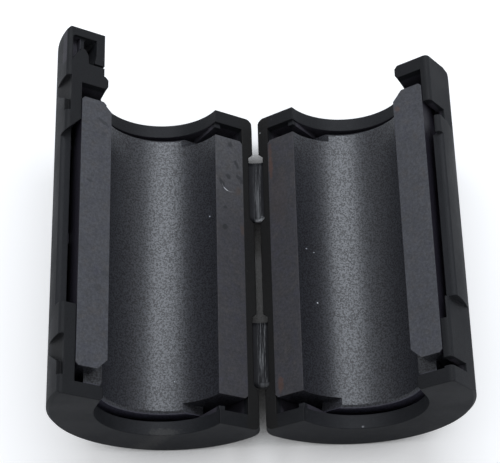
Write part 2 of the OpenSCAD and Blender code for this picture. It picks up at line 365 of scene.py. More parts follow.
class SharedEffects:
    """The shader node groups that the finishes are made from.

    Attributes:
        SMALLEST_SPECK: size of the smallest speck, as a share of the largest.
        SPECK_EDGE: where a speck starts and is full, in its own radii.
        SCRATCH_EDGE: where a scratch starts and is full, in its own half widths.
        BEND_SCALE: scale of the noise that bends the scratches.
        BEND_REACH: how far it bends them, in metres.
        PATCH_SCALE: scale of the patches that the scratches lie in.
        PATCH_LIMIT: what the patches' noise has to pass, at a share of 0 and of 1.
        CLOUD_SPAN: noise values that give a cloud of 0 and of 1.
        GRAIN_SPAN: noise values that give a grain of 0 and of 1.
        MARK_EDGE: where an oval mark starts and is full, in its own radii.
    """

    SMALLEST_SPECK = 0.3
    SPECK_EDGE: Span = (1.0, 0.55)
    SCRATCH_EDGE: Span = (1.0, 0.3)
    BEND_SCALE = 260.0
    BEND_REACH = 0.0016
    PATCH_SCALE = 330.0
    PATCH_LIMIT: Span = (0.78, 0.33)
    CLOUD_SPAN: Span = (0.3, 0.7)
    GRAIN_SPAN: Span = (0.25, 0.75)
    MARK_EDGE: Span = (1.2, 0.55)

    def __init__(self) -> None:
        """Builds the groups."""
        self.speckle = self._speckle()
        self.scratches = self._scratches()
        self.mottle = self._mottle()
        self.half_place = self._half_place()
        self.spot = self._spot()

    @staticmethod
    def _group(
        name: str, inputs: tuple[str, ...], outputs: tuple[str, ...]
    ) -> tuple[Tree, bpy.types.Node, bpy.types.Node]:
        """Starts a node group.

        Args:
            name: the group's name.
            inputs: names of its inputs, all values apart from Vector.
            outputs: names of its value outputs.

        Returns:
            The tree, its input node and its output node.
        """
        group = bpy.data.node_groups.new(name, "ShaderNodeTree")
        for key in inputs:
            kind = "NodeSocketVector" if key == "Vector" else "NodeSocketFloat"
            group.interface.new_socket(key, in_out="INPUT", socket_type=kind)
        for key in outputs:
            group.interface.new_socket(key, in_out="OUTPUT", socket_type="NodeSocketFloat")
        return Tree(group), group.nodes.new("NodeGroupInput"), group.nodes.new("NodeGroupOutput")

    def _speckle(self) -> bpy.types.NodeTree:
        """Builds sparse round specks, such as dust, pits or glints.

        Returns:
            The group. Its mask is 1 inside a speck.
        """
        tree, given, out = self._group("Specks", ("Vector", "Cells", "Share", "Size"), ("Mask",))
        source = given.outputs
        cells = tree.add("TexVoronoi", Vector=source["Vector"], Scale=source["Cells"])
        split = tree.add("SeparateColor", in_0=cells.outputs["Color"])
        chosen = tree.math("LESS_THAN", split.outputs[0], source["Share"])
        spread = tree.between(split.outputs[1], self.SMALLEST_SPECK, 1.0)
        edge = tree.math("DIVIDE", cells.outputs["Distance"], tree.product(source["Size"], spread))
        tree.link(tree.product(tree.ramp(edge, *self.SPECK_EDGE), chosen), out.inputs["Mask"])
        return tree.tree

    def _scratches(self) -> bpy.types.NodeTree:
        """Builds fine scratches in loose patches.

        Returns:
            The group. Its mask is 1 on a scratch.
        """
        names = ("Vector", "Cells", "Width", "Share")
        tree, given, out = self._group("Fine scratches", names, ("Mask",))
        source = given.outputs
        bend = tree.add("TexNoise", Vector=source["Vector"], Scale=self.BEND_SCALE, Detail=2.0)
        shift = tree.add(
            "VectorMath", operation="SCALE", in_0=bend.outputs["Color"], in_3=self.BEND_REACH
        )
        bent = tree.add("VectorMath", operation="ADD", in_0=source["Vector"], in_1=shift.outputs[0])
        cells = tree.add(
            "TexVoronoi", feature="DISTANCE_TO_EDGE", Vector=bent.outputs[0], Scale=source["Cells"]
        )
        width = tree.math("DIVIDE", cells.outputs["Distance"], source["Width"])
        limit = tree.between(source["Share"], *self.PATCH_LIMIT)
        patch = tree.noise(source["Vector"], self.PATCH_SCALE, detail=1.0)
        kept = tree.math("GREATER_THAN", patch, limit)
        tree.link(tree.product(tree.ramp(width, *self.SCRATCH_EDGE), kept), out.inputs["Mask"])
        return tree.tree

    def _mottle(self) -> bpy.types.NodeTree:
        """Builds soft cloudy variation and a fine grain.

        Returns:
            The group. Cloud and Grain both run from 0 to 1.
        """
        names = ("Vector", "Cloud scale", "Grain scale")
        tree, given, out = self._group("Cloud and grain", names, ("Cloud", "Grain"))
        source = given.outputs
        cloud = tree.noise(source["Vector"], source["Cloud scale"], detail=4.0, rough=0.6)
        grain = tree.noise(source["Vector"], source["Grain scale"], detail=2.0, rough=0.7)
        tree.link(tree.ramp(cloud, *self.CLOUD_SPAN), out.inputs["Cloud"])
        tree.link(tree.ramp(grain, *self.GRAIN_SPAN), out.inputs["Grain"])
        return tree.tree

    def _half_place(self) -> bpy.types.NodeTree:
        """Builds the places on one half that the finishes ask for, all in millimetres.

        Returns:
            The group. Across runs from the hinge line over the mating face, Height is
            the height over that face, Bore is the distance from the bore's wall, and
            Right and Left are 1 on the right and on the left half.
        """
        names = ("Across", "Along", "Height", "Bore", "Right", "Left")
        tree, given, out = self._group("Place on a half", ("Vector",), names)
        split = tree.add("SeparateXYZ", in_0=given.outputs["Vector"])
        level = tree.product(tree.math("ABSOLUTE", split.outputs[0]), 1 / MM)
        above = tree.math("MULTIPLY_ADD", split.outputs[2], 1 / MM, -POSE.hinge_z / MM)
        along = tree.math("MULTIPLY_ADD", split.outputs[1], 1 / MM, -POSE.hinge_y / MM)
        cos, sin = math.cos(POSE.tilt), math.sin(POSE.tilt)
        across = tree.math("ADD", tree.product(level, cos), tree.product(above, sin))
        height = tree.math("SUBTRACT", tree.product(above, cos), tree.product(level, sin))
        axis_at = math.hypot(POSE.bore_x, POSE.bore_z - POSE.hinge_z) / MM
        radius = tree.length(tree.math("SUBTRACT", across, axis_at), height)
        values = {
            "Across": across,
            "Along": along,
            "Height": height,
            "Bore": tree.math("SUBTRACT", radius, POSE.bore_r / MM),
            "Right": tree.math("GREATER_THAN", split.outputs[0], 0.0),
            "Left": tree.math("LESS_THAN", split.outputs[0], 0.0),
        }
        for key, value in values.items():
            tree.link(value, out.inputs[key])
        return tree.tree

    def _spot(self) -> bpy.types.NodeTree:
        """Builds one oval mark on a face, with a ragged edge.

        Returns:
            The group. Its mask is 1 inside the mark. Sizes are in millimetres, and
            the turn is in radians.
        """
        places = ("Across", "Along", "Ragged", "Centre across", "Centre along")
        sizes = ("Half length", "Half width", "Turn")
        tree, given, out = self._group("Oval mark", places + sizes, ("Mask",))
        source = given.outputs
        side = tree.math("SUBTRACT", source["Across"], source["Centre across"])
        end = tree.math("SUBTRACT", source["Along"], source["Centre along"])
        cos = tree.math("COSINE", source["Turn"])
        sin = tree.math("SINE", source["Turn"])
        forward = tree.math("ADD", tree.product(side, cos), tree.product(end, sin))
        sideways = tree.math("SUBTRACT", tree.product(end, cos), tree.product(side, sin))
        reach = tree.length(
            tree.math("DIVIDE", forward, source["Half length"]),
            tree.math("DIVIDE", sideways, source["Half width"]),
        )
        ragged = tree.math("ADD", reach, source["Ragged"])
        tree.link(tree.ramp(ragged, *self.MARK_EDGE), out.inputs["Mask"])
        return tree.tree


def new_material(name: str) -> tuple[bpy.types.Material, Tree, bpy.types.Node]:
    """Starts a material with a Principled shader.

    Args:
        name: the material's name.

    Returns:
        The material, its tree and its Principled node.
    """
    material = bpy.data.materials.new(name)
    material.use_nodes = True
    return material, Tree(material.node_tree), material.node_tree.nodes["Principled BSDF"]


# ------------------------------------------------------------------ marks and specks


@dataclass(frozen=True)
class Specks:
    """Sparse round specks all over a surface.

    Attributes:
        cells: cells in a metre, each of which may hold one speck.
        share: share of the cells that do.
        size: radius of the largest speck, as a share of a cell.
        strength: how much they show.
    """

    cells: float
    share: float
    size: float
    strength: float = 1.0

    def mask(self, tree: Tree, effects: SharedEffects, place: Socket) -> Socket:
        """Scatters the specks.

        Args:
            tree: the material's tree.
            effects: the shared node groups.
            place: the coordinates.

        Returns:
            Their mask at full strength.
        """
        specks = tree.effect(
            effects.speckle, Vector=place, Cells=self.cells, Share=self.share, Size=self.size
        )
        return specks["Mask"]


@dataclass(frozen=True)
class Mark:
    """One mark, in millimetres seen square to its half's mating face.

    Attributes:
        half: the half that it lies on.
        tint: its colour.
        across: distance of its middle from the hinge line.
        along: distance of its middle from the hinge's middle, along the case.
        half_length: half its length.
        half_width: half its width.
        turn_deg: turn of its length from the across direction.
        strength: how much of its colour shows.
    """

    half: Half
    tint: Tint
    across: float
    along: float
    half_length: float
    half_width: float
    turn_deg: float = 0.0
    strength: float = 0.8


@dataclass(frozen=True)
class Surface:
    """The surface of a shell or a core, as its finish sees it.

    Attributes:
        RAGGED_SCALE: scale of the noise that roughens the edges of marks.
        RAGGED_REACH: how far it moves an edge, in radii of the mark.
        EDGE_SAMPLES: samples that find the edges.
        tree: the material's tree.
        effects: the shared node groups.
        place: the object's coordinates.
        half: the places on a half.
        cloud: soft cloudy variation, from 0 to 1.
        grain: fine grain, from 0 to 1.
        ragged: the noise that roughens the edges of marks.
    """

    RAGGED_SCALE = 2600.0
    RAGGED_REACH = 0.7
    EDGE_SAMPLES = 6

    tree: Tree
    effects: SharedEffects
    place: Socket
    half: dict[str, Socket]
    cloud: Socket
    grain: Socket
    ragged: Socket

    @classmethod
    def start(
        cls,
        tree: Tree,
        effects: SharedEffects,
        place: Socket,
        cloud_scale: float,
        grain_scale: float,
    ) -> "Surface":
        """Adds what every finish on a half starts from.

        Args:
            tree: the material's tree.
            effects: the shared node groups.
            place: the object's coordinates.
            cloud_scale: scale of the clouds.
            grain_scale: scale of the grain.

        Returns:
            The surface.
        """
        mottle = tree.effect(
            effects.mottle, Vector=place, Cloud_scale=cloud_scale, Grain_scale=grain_scale
        )
        wobble = tree.noise(place, cls.RAGGED_SCALE, detail=2.0)
        return cls(
            tree=tree,
            effects=effects,
            place=place,
            half=tree.effect(effects.half_place, Vector=place),
            cloud=mottle["Cloud"],
            grain=mottle["Grain"],
            ragged=tree.between(wobble, -cls.RAGGED_REACH, cls.RAGGED_REACH),
        )

    def relief(self, height: Socket, depth: float, strength: float, edge_radius: float) -> Socket:
        """Gives the surface its relief and soft edges.

        Args:
            height: the relief, from 0 to 1.
            depth: how deep it is, in metres.
            strength: how strongly it shows.
            edge_radius: how softly the edges catch the light, in metres.

        Returns:
            The normal's socket.
        """
        soft_edge = self.tree.add("Bevel", samples=self.EDGE_SAMPLES, Radius=edge_radius)
        bump = self.tree.add(
            "Bump", Strength=strength, Distance=depth, Height=height, Normal=soft_edge.outputs[0]
        )
        return bump.outputs[0]

    def mask(self, mark: Mark) -> Socket:
        """Finds where one mark shows.

        Args:
            mark: the mark.

        Returns:
            The mark's mask on its own half.
        """
        oval = self.tree.effect(
            self.effects.spot,
            Across=self.half["Across"],
            Along=self.half["Along"],
            Ragged=self.ragged,
            Centre_across=mark.across,
            Centre_along=mark.along,
            Half_length=mark.half_length,
            Half_width=mark.half_width,
            Turn=math.radians(mark.turn_deg),
        )
        on_half = self.half["Left" if mark.half is Half.LEFT else "Right"]
        return self.tree.product(oval["Mask"], on_half)

    def marked(self, colour: Socket, marks: tuple[Mark, ...]) -> Socket:
        """Adds marks to a colour.

        Args:
            colour: the clean surface's colour.
            marks: the marks.

        Returns:
            The marked surface's colour.
        """
        for mark in marks:
            shown = self.tree.product(self.mask(mark), mark.strength)
            colour = self.tree.mix(shown, colour, mark.tint.value)
        return colour


FERRITE_MARKS = (
    # Smudges on the left latch side strip
    Mark(Half.LEFT, Tint.SMUDGE, 19.15, 12.8, 0.8, 0.22, 26, 0.8),
    Mark(Half.LEFT, Tint.SMUDGE, 19.1, 11.35, 0.32, 0.28, 0, 0.6),
    Mark(Half.LEFT, Tint.SMUDGE, 20.65, 5.4, 0.45, 0.16, 9, 0.8),
    Mark(Half.LEFT, Tint.SMUDGE, 18.65, -4.75, 0.45, 0.4, 0, 0.5),
    Mark(Half.LEFT, Tint.SMUDGE, 19.4, -6.6, 0.4, 0.4, 0, 0.45),
    # Pits and brown stains on the left hinge side strip
    Mark(Half.LEFT, Tint.PIT, 3.25, 14.5, 0.42, 0.34, 30, 0.75),
    Mark(Half.LEFT, Tint.PIT, 2.5, 12.15, 0.55, 0.24, 60, 0.8),
    Mark(Half.LEFT, Tint.PIT, 3.65, 10.4, 0.4, 0.26, 40, 0.85),
    Mark(Half.LEFT, Tint.PIT, 2.3, 10.6, 0.4, 0.26, 60, 0.75),
    Mark(Half.LEFT, Tint.PIT, 4.45, 9.45, 0.62, 0.3, 55, 0.85),
    Mark(Half.LEFT, Tint.PIT, 4.05, 6.5, 0.26, 0.22, 0, 0.8),
    Mark(Half.LEFT, Tint.PIT, 4.15, 4.05, 0.42, 0.36, 0, 1.0),
    Mark(Half.LEFT, Tint.PIT, 1.9, 10.3, 0.3, 0.5, 0, 0.7),
    Mark(Half.LEFT, Tint.BROWN, 1.9, 4.2, 0.3, 0.7, 0, 0.7),
    Mark(Half.LEFT, Tint.BROWN, 2.3, 8.9, 0.4, 0.6, 0, 0.5),
    # Stains on the right half
    Mark(Half.RIGHT, Tint.RUST, 2.05, 11.9, 0.3, 1.5, 0, 0.45),
    Mark(Half.RIGHT, Tint.RUST, 2.0, 14.0, 0.25, 1.1, 0, 0.3),
    Mark(Half.RIGHT, Tint.RUST, 2.4, -13.9, 0.35, 0.95, 0, 0.42),
    Mark(Half.RIGHT, Tint.RUST, 18.65, 13.2, 0.35, 0.35, 0, 0.35),
    Mark(Half.RIGHT, Tint.BROWN, 3.0, 7.5, 1.3, 3.5, 0, 0.22),
    # Bright specks in the bores, on their steep hinge side
    Mark(Half.LEFT, Tint.SCRATCH, 5.32, 5.57, 0.025, 0.09, 0, 0.9),
    Mark(Half.RIGHT, Tint.SCRATCH, 5.36, 1.34, 0.025, 0.07, 0, 0.6),
    Mark(Half.RIGHT, Tint.SCRATCH, 5.67, 1.12, 0.035, 0.07, 0, 0.7),
    Mark(Half.RIGHT, Tint.SCRATCH, 5.75, -4.79, 0.045, 0.1, 0, 0.9),
)

CASE_MARKS = (
    # Dust and a bright speck in the near mouths
    Mark(Half.LEFT, Tint.DUST, 8.3, -18.2, 1.4, 0.5, 0, 0.1),
    Mark(Half.RIGHT, Tint.SCRATCH, 8.28, -18.3, 0.12, 0.12, 0, 0.25),
    # A bright speck on the wall behind the left core
    Mark(Half.LEFT, Tint.SCRATCH, 19.14, 14.51, 0.14, 0.2, 0, 0.8),
)


# ------------------------------------------------------------------ finishes


@dataclass(frozen=True)
class CaseZones:
    """The parts of a shell that take painted shade, painted light or their own colour, by their
    places on a half in millimetres.

    The places called ahead are taken 1 mm in front of a face, and tell the way it looks.

    Attributes:
        rim_height: height above which the flats on the mating plane lie.
        hinge_across: distance from the hinge line within which its rims lie.
        notches_along: the ends of the far and of the near latch notch.
        notch_fade: how softly each of them ends.
        notch_across: distance from the hinge line beyond which their cut faces lie.
        notch_height: height below which those faces lie.
        notch_ahead: distance from the bore that those faces look inside of, ahead.
        hollow_ahead: distance from the bore that the walls behind the cores look inside of.
        hollow_along: the ends of the room behind the cores, ahead.
        hollow_height: height below which that room lies, ahead.
        pocket_along: place along the case beyond which the lug's pocket lies.
        pocket_across: distance from the hinge line beyond which it lies.
        pocket_height: its lowest and its highest height.
        fade: how softly the hollow and the pocket end.
    """

    rim_height: Span = (-0.45, -0.3)
    hinge_across: Span = (1.9, 1.7)
    notches_along: tuple[Span, Span] = ((13.3, 17.6), (-16.5, -12.2))
    notch_fade: float = 0.1
    notch_across: Span = (22.8, 22.9)
    notch_height: Span = (-0.45, -0.6)
    notch_ahead: Span = (6.2, 6.05)
    hollow_ahead: Span = (4.4, 4.2)
    hollow_along: Span = (-17.0, 17.0)
    hollow_height: Span = (-0.8, -1.2)
    pocket_along: Span = (19.3, 19.5)
    pocket_across: Span = (21.8, 22.0)
    pocket_height: Span = (-1.6, -0.5)
    fade: float = 0.05


@dataclass(frozen=True)
class MouldedPlastic:
    """Satin moulded plastic of the case.

    Attributes:
        name: the material's name.
        body: colour of the clean plastic.
        rubbed: colour where it is handled and rubbed.
        hollow_painted_light: lighter colour that paints light on the walls behind the cores and in
            the lug's pocket.
        hinge_rim: colour of the rims next to the hinge.
        dust: colour of dust specks.
        glint: colour of the few bright crumbs that stick to it.
        rubbed_share: how much the rubbed patches show.
        scuffed_share: how much fine scuffs show.
        hinge_rim_share: how much the rims next to the hinge take their own colour.
        rim_painted_shade: how much painted shade darkens the flats on the mating plane.
        notch_painted_shade: how much painted shade darkens the latch notches inside.
        grain_shade: how light the plastic is at the bottom and top of its grain.
        cloud_scale: scale of the rubbed patches.
        grain_scale: scale of the grain.
        dust_specks: the dust.
        crumbs: the crumbs.
        scuff_cells: cells in a metre that the scuffs run between.
        scuff_width: half width of a scuff, as a share of a cell.
        scuff_share: share of the case where scuffs lie.
        roughness: roughness of the clean and of the rubbed plastic.
        dust_roughness: what dust adds to it.
        ior: index of refraction of the plastic.
        grain_bump: height of the mould's grain, in metres.
        bump_strength: how strongly that height shows.
        edge_radius: how softly the moulded edges catch the light, in metres.
        zones: the parts that are toned apart.
        marks: the marks on the case.
    """

    name: str = "case_plastic"
    body: Colour = srgb(31, 32, 35)
    rubbed: Colour = srgb(42, 43, 46)
    hollow_painted_light: Colour = srgb(61, 59, 66)
    hinge_rim: Colour = srgb(27, 26, 25)
    dust: Colour = srgb(96, 95, 93)
    glint: Colour = srgb(170, 172, 174)
    rubbed_share: float = 0.45
    scuffed_share: float = 0.18
    hinge_rim_share: float = 0.8
    rim_painted_shade: float = 0.3
    notch_painted_shade: float = 0.7
    grain_shade: Span = (0.65, 1.35)
    cloud_scale: float = 260.0
    grain_scale: float = 9000.0
    dust_specks: Specks = Specks(cells=2600.0, share=0.02, size=0.28, strength=0.35)
    crumbs: Specks = Specks(cells=330.0, share=0.4, size=0.05, strength=0.7)
    scuff_cells: float = 420.0
    scuff_width: float = 0.012
    scuff_share: float = 0.25
    roughness: Span = (0.49, 0.63)
    dust_roughness: float = 0.3
    ior: float = 1.3
    grain_bump: float = 0.000014
    bump_strength: float = 0.7
    edge_radius: float = 0.00014
    zones: CaseZones = CaseZones()
    marks: tuple[Mark, ...] = CASE_MARKS

    def build(self, effects: SharedEffects) -> bpy.types.Material:
        """Builds the material.

        Args:
            effects: the shared node groups.

        Returns:
            The finished material.
        """
        material, tree, shader = new_material(self.name)
        coords = tree.add("TexCoord")
        place = coords.outputs["Object"]
        in_front = tree.add(
            "VectorMath",
            operation="MULTIPLY_ADD",
            in_0=coords.outputs["Normal"],
            in_1=(MM, MM, MM),
            in_2=place,
        ).outputs[0]
        ahead = tree.effect(effects.half_place, Vector=in_front)
        surface = Surface.start(tree, effects, place, self.cloud_scale, self.grain_scale)
        dust = self.dust_specks.mask(tree, effects, place)
        crumbs = self.crumbs.mask(tree, effects, place)
        scuffs = tree.effect(
            effects.scratches,
            Vector=place,
            Cells=self.scuff_cells,
            Width=self.scuff_width,
            Share=self.scuff_share,
        )["Mask"]

        rubbed = tree.product(surface.cloud, self.rubbed_share)
        colour = tree.mix(rubbed, self.body, self.rubbed)
        colour = self._toned(surface, ahead, colour)
        colour = tree.mix(tree.product(scuffs, self.scuffed_share), colour, self.rubbed)
        colour = tree.mix(tree.product(dust, self.dust_specks.strength), colour, self.dust)
        colour = tree.mix(tree.product(crumbs, self.crumbs.strength), colour, self.glint)
        colour = surface.marked(colour, self.marks)
        colour = tree.shade(colour, tree.between(surface.grain, *self.grain_shade))
        rough = tree.between(surface.cloud, *self.roughness)
        rough = tree.math("MULTIPLY_ADD", dust, self.dust_roughness, rough, clamp=True)
        height = tree.math("SUBTRACT", surface.grain, scuffs)
        normal = surface.relief(height, self.grain_bump, self.bump_strength, self.edge_radius)
        shader.inputs["IOR"].default_value = self.ior
        tree.link(colour, shader.inputs["Base Color"])
        tree.link(rough, shader.inputs["Roughness"])
        tree.link(normal, shader.inputs["Normal"])
        return material

    def _toned(self, surface: Surface, ahead: dict[str, Socket], colour: Socket) -> Socket:
        """Paints shade on the rims and inside the latch notches, gives the rims next to the hinge
        their own colour, and paints light in the hollows of the moulding.

        Args:
            surface: the shell's surface.
            ahead: the places on a half 1 mm in front of the surface.
            colour: the plastic's colour.

        Returns:
            The toned colour.
        """
        tree, half, zones = surface.tree, surface.half, self.zones
        # Painted shade darkens the flats on the mating plane.
        on_rim = tree.ramp(half["Height"], *zones.rim_height)
        colour = tree.shade(colour, tree.dimmed(on_rim, self.rim_painted_shade))
        by_hinge = tree.product(
            on_rim, tree.ramp(half["Across"], *zones.hinge_across), self.hinge_rim_share
        )
        colour = tree.mix(by_hinge, colour, self.hinge_rim)

        # Painted shade darkens the cut faces inside the latch notches of the left half.
        far_notch, near_notch = (
            tree.band(half["Along"], *ends, zones.notch_fade) for ends in zones.notches_along
        )
        cut_face = tree.product(
            tree.ramp(half["Across"], *zones.notch_across),
            tree.ramp(half["Height"], *zones.notch_height),
            tree.ramp(ahead["Bore"], *zones.notch_ahead),
        )
        notch = tree.product(half["Left"], tree.math("ADD", far_notch, near_notch), cut_face)
        colour = tree.shade(colour, tree.dimmed(notch, self.notch_painted_shade))

        # Painted light lightens the walls behind the cores and the lug's pocket, where shade falls.
        behind_core = tree.product(
            tree.ramp(ahead["Bore"], *zones.hollow_ahead),
            tree.band(ahead["Along"], *zones.hollow_along, zones.fade),
            tree.ramp(ahead["Height"], *zones.hollow_height),
        )
        lug_pocket = tree.product(
            half["Left"],
            tree.ramp(half["Along"], *zones.pocket_along),
            tree.ramp(half["Across"], *zones.pocket_across),
            tree.band(half["Height"], *zones.pocket_height, zones.fade),
        )
        hollow_painted_light = tree.math("MAXIMUM", behind_core, lug_pocket)
        return tree.mix(hollow_painted_light, colour, self.hollow_painted_light)


@dataclass(frozen=True)
class HookScratch:
    """A bright scratch in the shape of a hook, in millimetres on the left mating face.

    Attributes:
        across: distance of the hook's centre from the hinge line.
        along: place of the hook's centre along the case.
        radius: radius of the hook.
        half_width: half the scratch's width.
        full_share: share of that width where the scratch is full.
        parts: the parts of the circle that show, as oval marks.
    """

    across: float = 3.37
    along: float = 9.65
    radius: float = 1.1
    half_width: float = 0.065
    full_share: float = 0.3
    parts: tuple[Mark, ...] = (
        Mark(Half.LEFT, Tint.SCRATCH, 3.85, 8.85, 0.9, 0.7, 0, 0.14),
        Mark(Half.LEFT, Tint.SCRATCH, 3.95, 8.72, 0.3, 0.26, 0, 0.85),
    )

    def drawn(self, surface: Surface, colour: Socket) -> Socket:
        """Draws the scratch.

        Args:
            surface: the core's surface.
            colour: the core's colour.

        Returns:
            The scratched core's colour.
        """
        tree = surface.tree
        centre_off = tree.length(
            tree.math("SUBTRACT", surface.half["Across"], self.across),
            tree.math("SUBTRACT", surface.half["Along"], self.along),
        )
        off_line = tree.math("ABSOLUTE", tree.math("SUBTRACT", centre_off, self.radius))
        line = tree.ramp(off_line, self.half_width, self.half_width * self.full_share)
        for part in self.parts:
            shown = tree.product(line, surface.mask(part), part.strength)
            colour = tree.mix(shown, colour, part.tint.value)
        return colour


@dataclass(frozen=True)
class GroundStrip:
    """The matte mating strips, ground flat, with faint patches, flecks and pits.

    Attributes:
        latch_side: colour on the latch side.
        hinge_side: colour next to the hinge, darker by painted shade where the strips lie in the
            valley between the halves.
        far_left_painted_light: colour of the left hinge side strip at its far end, lighter by painted
            light.
        stain: colour of small pits.
        cool: colour that one kind of cloudy patch leans to.
        warm: colour that the other kind leans to.
        cool_share: how far the cool patches lean.
        warm_share: how far the warm ones do.
        latch_across: where the latch side's colour takes over from the painted shade next to the
            hinge, in millimetres.
        far_along: where the far end's painted light comes in, in millimetres.
        patch_scale: scale of the patches.
        cool_patch: noise values where a cool patch starts and is full.
        warm_patch: noise values where a warm patch starts and is full.
        fleck_scale: scale of the flecks.
        fleck_span: noise values of the darkest and the lightest flecks.
        pits: the small pits.
        grain_shade: how light the strips are at the bottom and top of their grain.
        cloud_shade: the same for the soft clouds.
        fleck_shade: the same for the flecks.
    """

    latch_side: Colour = srgb(68, 69, 74)
    hinge_side: Colour = srgb(57, 56, 60)
    far_left_painted_light: Colour = srgb(74, 74, 77)
    stain: Colour = srgb(40, 41, 45)
    cool: Colour = srgb(58, 58, 72)
    warm: Colour = srgb(74, 69, 66)
    cool_share: float = 0.4
    warm_share: float = 0.35
    latch_across: Span = (6.0, 17.0)
    far_along: Span = (2.0, 14.0)
    patch_scale: float = 900.0
    cool_patch: Span = (0.5, 0.72)
    warm_patch: Span = (0.5, 0.3)
    fleck_scale: float = 3200.0
    fleck_span: Span = (0.3, 0.7)
    pits: Specks = Specks(cells=700.0, share=0.07, size=0.3, strength=0.4)
    grain_shade: Span = (0.8, 1.2)
    cloud_shade: Span = (0.93, 1.07)
    fleck_shade: Span = (0.82, 1.18)

    def colour(self, surface: Surface) -> Socket:
        """Colours the clean strips.

        Args:
            surface: the core's surface.

        Returns:
            The strips' colour.
        """
        tree, half, place = surface.tree, surface.half, surface.place
        # Painted shade darkens the strips next to the hinge, and painted light lightens the left
        # hinge side strip towards its far end.
        far_end = tree.ramp(half["Along"], *self.far_along)
        inner = tree.mix(tree.product(far_end, half["Left"]), self.hinge_side, self.far_left_painted_light)
        on_latch_side = tree.ramp(half["Across"], *self.latch_across)
        colour = tree.mix(on_latch_side, inner, self.latch_side)
        patches = tree.noise(place, self.patch_scale, detail=4.0, rough=0.65)
        cool = tree.product(tree.ramp(patches, *self.cool_patch), self.cool_share)
        colour = tree.mix(cool, colour, self.cool)
        warm = tree.product(tree.ramp(patches, *self.warm_patch), self.warm_share)
        colour = tree.mix(warm, colour, self.warm)
        pits = self.pits.mask(tree, surface.effects, place)
        colour = tree.mix(tree.product(pits, self.pits.strength), colour, self.stain)
        flecks = tree.noise(place, self.fleck_scale, detail=2.0, rough=0.6)
        shade = tree.product(
            tree.between(surface.grain, *self.grain_shade),
            tree.between(surface.cloud, *self.cloud_shade),
            tree.between(tree.ramp(flecks, *self.fleck_span), *self.fleck_shade),
        )
        return tree.shade(colour, shade)


